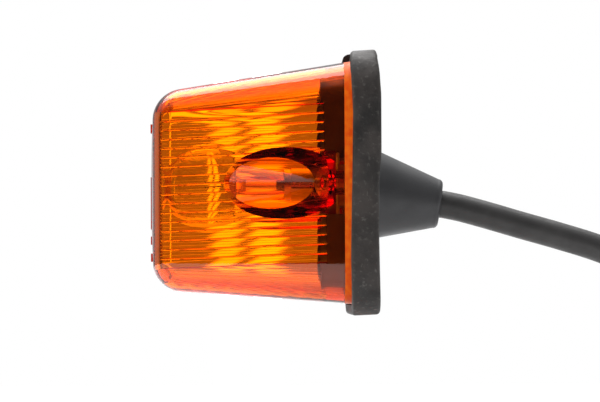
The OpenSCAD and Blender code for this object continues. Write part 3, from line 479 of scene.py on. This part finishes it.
quarter = [math.pi / 2 * k / ROUND_STEPS for k in range(ROUND_STEPS + 1)]
rings = [(EDGE_R * (1 - math.sin(a)), EDGE_R * (1 - math.cos(a))) for a in quarter]
rings += [(0.0, EDGE_R + (GASKET_T - 2 * EDGE_R) * k / SIDE_STEPS) for k in range(1, SIDE_STEPS)]
rings += [(EDGE_R * (1 - math.cos(a)), GASKET_T - EDGE_R + EDGE_R * math.sin(a)) for a in quarter]
gasket = skin("gasket_rubber", [
    [(x, y, z) for x, y in fine_outline(GASKET_HALF_W - drawn_in, GASKET_HALF_H - drawn_in,
                                        GASKET_CORNER_R - drawn_in)]
    for drawn_in, z in rings])
for point in gasket.data.vertices:
    x, y, z = point.co
    share = z / GASKET_T
    up = y / GASKET_HALF_H
    y += -TOP_DRAWN_IN * share * up if y > 0 else BOTTOM_DRAWN_IN * share * up - BOTTOM_DRAWN_IN * up
    wave = WAVE_MEAN + WAVE_SWING * math.sin(WAVE_RATE * x + WAVE_PHASE) if x < WAVE_TO_X else 1.0
    z += along(FRONT_WAVE, y) * wave * share + along(BACK_WAVE, y) * wave * (1 - share)
    point.co = (x, y, z)
lip_angles = [2 * math.pi * k / LIP_STEPS for k in range(LIP_STEPS)]
combine(gasket, skin("lip", [[(x, LIP_Y + LIP_HALF_H * math.cos(a), LIP_Z + LIP_HALF_T * math.sin(a))
                              for a in lip_angles] for x in (-LIP_HALF_W, LIP_HALF_W)]), "UNION")
for name, half_w, half_h, r, low in (
        ("pocket", LENS_W / 2 + FIT_GAP, LENS_H / 2 + FIT_GAP, FOOT_CORNER_R + FIT_GAP, FOOT_Z),
        ("seat", PLATE_HALF_W + FIT_GAP, PLATE_HALF_H + FIT_GAP, PLATE_CORNER_R + FIT_GAP, PLATE_Z),
        ("window", WINDOW_HALF_W, WINDOW_HALF_H, WINDOW_CORNER_R, TOOL_LOW)):
    combine(gasket, plate(name, half_w, half_h, r, low, TOOL_HIGH), "DIFFERENCE")
for x in (SCREW_X, -SCREW_X):
    combine(gasket, rod("hole", SCREW_HOLE_D / 2, TOOL_LOW, TOOL_HIGH, x, steps=48), "DIFFERENCE")
set_in_metres(gasket, math.radians(35))


def mix(tree, share, a, b):
    """Mixes colour a towards colour b by share, each a socket or a plain colour."""
    node = tree.nodes.new("ShaderNodeMix")
    node.data_type = "RGBA"
    for socket, value in ((node.inputs[0], share), (node.inputs[6], a), (node.inputs[7], b)):
        if isinstance(value, bpy.types.NodeSocket):
            tree.links.new(value, socket)
        else:
            socket.default_value = value if not hasattr(value, "__len__") else (*value, 1)
    return node.outputs[2]


rubber, tree, shader = new_material("gasket_rubber", (0.030, 0.026, 0.024), 0.62)
dust = ramp(tree, noise(tree, 700, 6, 0.7), [(0.56, 0.0), (0.70, 0.7)])
worn = ramp(tree, noise(tree, 110, 5), [(0.38, (0.014, 0.012, 0.011)), (0.66, (0.050, 0.041, 0.037))])
tree.links.new(mix(tree, dust, worn, (0.13, 0.12, 0.11)), shader.inputs["Base Color"])
tree.links.new(ramp(tree, noise(tree, 150, 4), [(0.3, 0.5), (0.7, 0.72)]), shader.inputs["Roughness"])
bump(tree, shader, noise(tree, 700, 5, 0.65), 0.0002)
gasket.data.materials.clear()
gasket.data.materials.append(rubber)
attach(gasket, "root")
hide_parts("gasket")

# The base plate. Moulded in black plastic, with an upright rim inside the lens. It carries the bulb holder on
# two rivets, and the boot's neck snaps into its outlet.
black, tree, shader = new_material("moulded_black", (0.12, 0.11, 0.11), 0.42)
tree.links.new(ramp(tree, noise(tree, 90, 4), [(0.35, (0.10, 0.09, 0.09)), (0.7, (0.14, 0.13, 0.13))]),
               shader.inputs["Base Color"])
tree.links.new(ramp(tree, noise(tree, 260, 3), [(0.3, 0.34), (0.7, 0.5)]), shader.inputs["Roughness"])
bump(tree, shader, noise(tree, 1500, 3), 0.00004)
dress(["base_plate"], black)

# The boot. A leaning cone of satin rubber, 25.6 mm wide at the panel and 13.6 mm at its rounded tip. Its neck
# goes through the base plate's outlet and a flange inside keeps it there. Its sizes are in millimetres, as the
# lens's are.
BOOT_ROOT_R, BOOT_TIP_R, BOOT_L, BOOT_WALL, BOOT_DROP = 12.8, 6.8, 18.9, 2.2, 2.8
BOOT_DROOP = math.radians(7.6)
OUTLET_R, PLATE_TOP_Z, FLANGE_T, FLANGE_REACH, TIP_EDGE = 9.6, 5.6, 1.0, 3, 1.4
BORE_END_R, BORE_END, LEAD_HOLE_R, NECK_OVERLAP = 4.6, 6, 4.1, 0.5
TIP_LAND, TIP_STEPS = 0.4, 8
ROOT_TOOL_HALF, ROOT_TOOL_Z = 30, -40
# Where the cone has a ring. It starts inside the lamp and is cut off level at the back of the base plate.
BOOT_HEIGHTS = (-8.0, *range(-2, 17, 2), BOOT_L - TIP_EDGE - TIP_LAND)
along_boot = Matrix.Translation((0, -BOOT_DROP, 0)) @ Matrix.Rotation(math.pi - BOOT_DROOP, 4, "X")


def turned(name, profile, steps=96):
    """A closed solid turned about z, from (radius, height) pairs that rise."""
    angles = [2 * math.pi * k / steps for k in range(steps)]
    return skin(name, [[(r * math.cos(a), r * math.sin(a), z) for a in angles] for r, z in profile])


taper = (BOOT_ROOT_R - BOOT_TIP_R) / BOOT_L
profile = [(BOOT_ROOT_R - taper * z, z) for z in BOOT_HEIGHTS]
for k in range(TIP_STEPS + 1):
    a = math.pi / 2 * k / TIP_STEPS
    profile.append((BOOT_TIP_R + taper * TIP_EDGE - TIP_EDGE * (1 - math.cos(a)),
                    BOOT_L - TIP_EDGE + TIP_EDGE * math.sin(a)))
boot = turned("cable_boot_rubber", profile)
boot.data.transform(along_boot)
flange_z = PLATE_TOP_Z + FLANGE_T
combine(boot, plate("behind", ROOT_TOOL_HALF, ROOT_TOOL_HALF, 1, ROOT_TOOL_Z, PLATE_Z), "INTERSECT")
combine(boot, rod("neck", OUTLET_R - FIT_GAP, PLATE_Z - NECK_OVERLAP, flange_z, 0, -BOOT_DROP), "UNION")
combine(boot, rod("flange", OUTLET_R + FLANGE_REACH, PLATE_TOP_Z, flange_z, 0, -BOOT_DROP), "UNION")
combine(boot, rod("throat", OUTLET_R - BOOT_WALL, -1, flange_z + 1, 0, -BOOT_DROP), "DIFFERENCE")
for bore_profile in ([(OUTLET_R - BOOT_WALL - 0.3, -2), (BORE_END_R, BOOT_L - BORE_END)],
                     [(LEAD_HOLE_R, 0), (LEAD_HOLE_R, BOOT_L + 1)]):
    bore = turned("bore", bore_profile)
    bore.data.transform(along_boot)
    combine(boot, bore, "DIFFERENCE")
set_in_metres(boot, math.radians(35))

satin, tree, shader = new_material("boot_rubber", (0.045, 0.045, 0.048), 0.5)
tree.links.new(ramp(tree, noise(tree, 80, 3), [(0.35, (0.040, 0.040, 0.044)), (0.7, (0.052, 0.052, 0.055))]),
               shader.inputs["Base Color"])
tree.links.new(ramp(tree, noise(tree, 220, 3), [(0.3, 0.42), (0.7, 0.55)]), shader.inputs["Roughness"])
bump(tree, shader, noise(tree, 1600, 3), 0.00004)
boot.data.materials.clear()
boot.data.materials.append(satin)
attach(boot, "root")
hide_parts("cable_boot")

# The bulb. A clear glass globe, 25 mm wide, on a nickel washed brass cap with two bayonet pins. A glass stem
# carries a coiled filament, and a black glass insulator in the cap's foot carries the solder contact.
cap_metal, tree, shader = new_material("cap_brass", (0.74, 0.66, 0.48), 0.28, 1.0)
tree.links.new(ramp(tree, noise(tree, 120, 5), [(0.3, (0.62, 0.54, 0.36)), (0.7, (0.80, 0.74, 0.58))]),
               shader.inputs["Base Color"])
tree.links.new(ramp(tree, noise(tree, 400, 4), [(0.3, 0.2), (0.7, 0.38)]), shader.inputs["Roughness"])
dress(["bulb_cap"], cap_metal)

clear, tree, shader = new_material("clear_glass", (0.96, 0.98, 0.98), 0.0)
shader.inputs["Transmission Weight"].default_value = 1.0
shader.inputs["IOR"].default_value = 1.5
tree.links.new(ramp(tree, noise(tree, 60, 2), [(0.3, (0.95, 0.975, 0.98)), (0.7, (0.985, 0.99, 0.99))]),
               shader.inputs["Base Color"])
dress(["bulb_glass", "bulb_stem"], clear)

wire, tree, shader = new_material("drawn_wire", (0.5, 0.5, 0.52), 0.35, 1.0)
tree.links.new(ramp(tree, noise(tree, 900, 3), [(0.3, (0.42, 0.42, 0.44)), (0.7, (0.60, 0.60, 0.62))]),
               shader.inputs["Base Color"])
dress(["bulb_filament"], wire)

vitrite, tree, shader = new_material("insulator_glass", (0.012, 0.012, 0.016), 0.12)
tree.links.new(ramp(tree, noise(tree, 200, 3), [(0.3, (0.010, 0.010, 0.014)), (0.7, (0.022, 0.020, 0.026))]),
               shader.inputs["Base Color"])
dress(["bulb_insulator"], vitrite)

tin, tree, shader = new_material("tinned_metal", (0.72, 0.72, 0.71), 0.32, 1.0)
tree.links.new(ramp(tree, noise(tree, 500, 4), [(0.3, (0.62, 0.62, 0.61)), (0.7, (0.80, 0.80, 0.79))]),
               shader.inputs["Base Color"])
tree.links.new(ramp(tree, noise(tree, 700, 3), [(0.3, 0.25), (0.7, 0.42)]), shader.inputs["Roughness"])
dress(["bulb_contact", "core_ferrules"], tin)

# The bulb holder and its bracket. Zinc plated sheet, 0.7 mm thick: a drawn tube with two bayonet slots, on a
# folded strip that two rivets fix to the base plate. The grip crimped on the lead's jacket is plated as well.
zinc, tree, shader = new_material("zinc_plate", (0.6, 0.6, 0.6), 0.35, 1.0)
rolled = noise(tree, 250, 5, 0.6, (1, 0.2, 1))
tree.links.new(ramp(tree, rolled, [(0.3, (0.50, 0.50, 0.51)), (0.7, (0.68, 0.68, 0.67))]),
               shader.inputs["Base Color"])
tree.links.new(ramp(tree, noise(tree, 600, 4), [(0.3, 0.28), (0.7, 0.46)]), shader.inputs["Roughness"])
dress(["bulb_holder", "holder_bracket", "cable_grip"], zinc)

aluminium, tree, shader = new_material("rivet_metal", (0.72, 0.71, 0.68), 0.36, 1.0)
tree.links.new(ramp(tree, noise(tree, 500, 4), [(0.3, (0.60, 0.59, 0.56)), (0.7, (0.78, 0.77, 0.74))]),
               shader.inputs["Base Color"])
dress(["bracket_rivets", "leaf_rivet"], aluminium)

# The contact leaf. A bronze spring that presses on the bulb's contact. A rivet fixes it to the base plate, on a
# laminated board that insulates it.
spring, tree, shader = new_material("spring_bronze", (0.70, 0.46, 0.22), 0.3, 1.0)
rolled = noise(tree, 300, 4, 0.5, (0.3, 1, 1))
tree.links.new(ramp(tree, rolled, [(0.3, (0.60, 0.38, 0.17)), (0.7, (0.78, 0.54, 0.28))]),
               shader.inputs["Base Color"])
dress(["contact_leaf"], spring)

board, tree, shader = new_material("laminated_board", (0.25, 0.12, 0.05), 0.55)
layers = noise(tree, 200, 5, 0.6, (0.2, 1, 4))
tree.links.new(ramp(tree, layers, [(0.3, (0.19, 0.085, 0.035)), (0.7, (0.30, 0.15, 0.07))]),
               shader.inputs["Base Color"])
dress(["leaf_block"], board)

# The two terminals. Eyelets pressed from tinned brass sheet, each crimped on one wire. The rivets' heads hold
# them down.
terminal, tree, shader = new_material("tinned_brass", (0.76, 0.70, 0.54), 0.33, 1.0)
tree.links.new(ramp(tree, noise(tree, 500, 4), [(0.3, (0.66, 0.58, 0.40)), (0.7, (0.82, 0.79, 0.68))]),
               shader.inputs["Base Color"])
dress(["live_terminal", "earth_terminal"], terminal)

# The wires. The lead's two cores, brown and black, which run through the boot to the terminals and come out
# again at the far end.
for colour_name, dark, light, cores in (
        ("brown_core", (0.15, 0.055, 0.022), (0.22, 0.09, 0.04), ["wire_live", "core_live_end"]),
        ("black_core", (0.014, 0.014, 0.014), (0.028, 0.028, 0.028), ["wire_earth", "core_earth_end"])):
    insulation, tree, shader = new_material(colour_name, dark, 0.36)
    tree.links.new(ramp(tree, noise(tree, 300, 3), [(0.3, dark), (0.7, light)]), shader.inputs["Base Color"])
    dress(cores, insulation)

# The tie round the coil. A strap of black nylon, moulded with its head. It is pulled tight round the lead's
# turns, which it holds together.
nylon, tree, shader = new_material("nylon_strap", (0.018, 0.018, 0.018), 0.45)
grain = noise(tree, 300, 3, 0.5, (1, 3, 1))
tree.links.new(ramp(tree, grain, [(0.3, (0.013, 0.013, 0.013)), (0.7, (0.026, 0.026, 0.026))]),
               shader.inputs["Base Color"])
dress(["cable_tie"], nylon)

# The floor. Pale matt paint under the coil. It glows a little for the camera and for what is clear or shiny,
# so that it shows as white and keeps the lamp's shadow.
FLOOR_Z, FLOOR_GLOW = -0.0718, 0.55
FLOOR_LEFT, FLOOR_RIGHT, FLOOR_NEAR, FLOOR_FAR = -0.6, 0.6, -0.6, 0.9
floor_corners = [(FLOOR_LEFT, FLOOR_NEAR, FLOOR_Z), (FLOOR_RIGHT, FLOOR_NEAR, FLOOR_Z),
                 (FLOOR_RIGHT, FLOOR_FAR, FLOOR_Z), (FLOOR_LEFT, FLOOR_FAR, FLOOR_Z)]
floor_mesh = bpy.data.meshes.new("floor")
floor_mesh.from_pydata(floor_corners, [], [(0, 1, 2, 3)])
floor = bpy.data.objects.new("floor", floor_mesh)
bpy.context.collection.objects.link(floor)


def maths(tree, operation, *values):
    """One sum on one or two values, each a socket or a number."""
    node = tree.nodes.new("ShaderNodeMath")
    node.operation = operation
    for socket, value in zip(node.inputs, values):
        if isinstance(value, bpy.types.NodeSocket):
            tree.links.new(value, socket)
        else:
            socket.default_value = value
    return node.outputs[0]


pale, tree, shader = new_material("floor_paint", (0.7, 0.7, 0.7), 0.9)
paths = tree.nodes.new("ShaderNodeLightPath")
seen = maths(tree, "MAXIMUM", paths.outputs["Is Camera Ray"], paths.outputs["Is Transmission Ray"])
seen = maths(tree, "MAXIMUM", seen, paths.outputs["Is Glossy Ray"])
shader.inputs["Emission Color"].default_value = (1, 1, 1, 1)
tree.links.new(maths(tree, "MULTIPLY", seen, FLOOR_GLOW), shader.inputs["Emission Strength"])
floor_mesh.materials.append(pale)

# The studio. The camera sees white everywhere, and matt pieces are lit at a plain level. What is clear or
# shiny shows a pale wall behind the lamp, with a white band above and two narrow bright panes, and a dim room
# before it. Levels are shares of white, and places in the room are parts of a direction one long.
WALL_LEVEL, LOW_LEVEL, BAND_LEVEL, PANE_LEVEL = 0.54, 0.20, 1.0, 3.8
SIDE_LEVEL, FRONT_LEVEL, MATT_LEVEL = 0.45, 0.10, 0.6
WALL_EDGE, WALL_FULL, FRONT_EDGE, FRONT_FULL = -0.15, -0.40, 0.35, 0.65
WALL_HALF, WALL_SOFT, BAND_LOW, BAND_FULL = 0.26, 0.06, 0.30, 0.45
PANE_HALF, PANE_END_SOFT, PANE_SIDE_SOFT = 0.14, 0.04, 0.0003
# Each pane's middle and half width along the lamp, and its share of the panes' level.
PANES = ((-0.0002, 0.0034, 1.0), (-0.0098, 0.0029, 0.9))
CORNER_AIM, CORNER_EDGE, CORNER_FULL, CORNER_SHARE = (0.47, -0.88, 0.0), 0.70, 0.82, 0.1
world = bpy.data.worlds.new("studio")
bpy.context.scene.world = world
world.use_nodes = True
tree = world.node_tree
background = tree.nodes["Background"]
place = tree.nodes.new("ShaderNodeTexCoord")
axes = tree.nodes.new("ShaderNodeSeparateXYZ")
tree.links.new(place.outputs["Generated"], axes.inputs[0])


def fade(value, start, end, low, high):
    """Goes smoothly from low to high between start and end."""
    node = tree.nodes.new("ShaderNodeMapRange")
    node.interpolation_type = "SMOOTHSTEP"
    for name, number in (("From Min", start), ("From Max", end), ("To Min", low), ("To Max", high)):
        node.inputs[name].default_value = number
    tree.links.new(value, node.inputs["Value"])
    return node.outputs["Result"]


def within(value, middle, half, soft, outside, inside):
    """One level within that half width of the middle, and another outside it."""
    distance = maths(tree, "ABSOLUTE", maths(tree, "SUBTRACT", value, middle))
    return fade(distance, half - soft, half + soft, inside, outside)


along_lamp, height = axes.outputs["Y"], axes.outputs["Z"]
behind = fade(axes.outputs["X"], WALL_FULL, WALL_EDGE, 1.0, 0.0)
wall = maths(tree, "MAXIMUM", within(height, 0.0, WALL_HALF, WALL_SOFT, LOW_LEVEL, WALL_LEVEL),
             fade(height, BAND_LOW, BAND_FULL, 0.0, BAND_LEVEL))
panes = maths(tree, "MAXIMUM", *[within(along_lamp, middle, half, PANE_SIDE_SOFT, 0.0, share)
                                 for middle, half, share in PANES])
panes = maths(tree, "MULTIPLY", panes, within(height, 0.0, PANE_HALF, PANE_END_SOFT, 0.0, PANE_LEVEL))
wall = maths(tree, "MULTIPLY", maths(tree, "MAXIMUM", wall, panes), behind)
# A dark corner of the room, which shows in the edge of the lens's front.
corner = tree.nodes.new("ShaderNodeVectorMath")
corner.operation = "DOT_PRODUCT"
tree.links.new(place.outputs["Generated"], corner.inputs[0])
corner.inputs[1].default_value = CORNER_AIM
side = maths(tree, "MULTIPLY", fade(corner.outputs["Value"], CORNER_EDGE, CORNER_FULL, 1.0, CORNER_SHARE),
             fade(axes.outputs["X"], FRONT_EDGE, FRONT_FULL, SIDE_LEVEL, FRONT_LEVEL))
paths = tree.nodes.new("ShaderNodeLightPath")
level = tree.nodes.new("ShaderNodeMix")
level.data_type = "FLOAT"
tree.links.new(paths.outputs["Is Diffuse Ray"], level.inputs[0])
tree.links.new(maths(tree, "MAXIMUM", wall, side), level.inputs[2])
level.inputs[3].default_value = MATT_LEVEL
strength = maths(tree, "MAXIMUM", level.outputs[0], paths.outputs["Is Camera Ray"])
tree.links.new(strength, background.inputs["Strength"])
background.inputs["Color"].default_value = (1, 1, 1, 1)

# The lamp of the studio. One broad soft light above the object and a little behind it, pointed at it. It
# lights what is matt from above and gives the shadow on the floor.
LIGHT_PLACE, LIGHT_SIZE, LIGHT_WATTS = Vector((-0.40, -0.2, 0.95)), 1.1, 16
light = bpy.data.objects.new("top_lamp", bpy.data.lights.new("top_lamp", "AREA"))
bpy.context.collection.objects.link(light)
light.data.shape = "RECTANGLE"
light.data.size = light.data.size_y = LIGHT_SIZE
light.data.energy = LIGHT_WATTS
aim = (-LIGHT_PLACE).to_track_quat("-Z", "Y").to_matrix().to_4x4()
light.matrix_world = Matrix.Translation(LIGHT_PLACE) @ aim

bpy.context.scene.view_settings.view_transform = "Standard"
# Light passes many walls of the clear pieces, so that it needs many bounces.
bpy.context.scene.cycles.max_bounces = 32
bpy.context.scene.cycles.transmission_bounces = 32
bpy.context.scene.cycles.glossy_bounces = 16
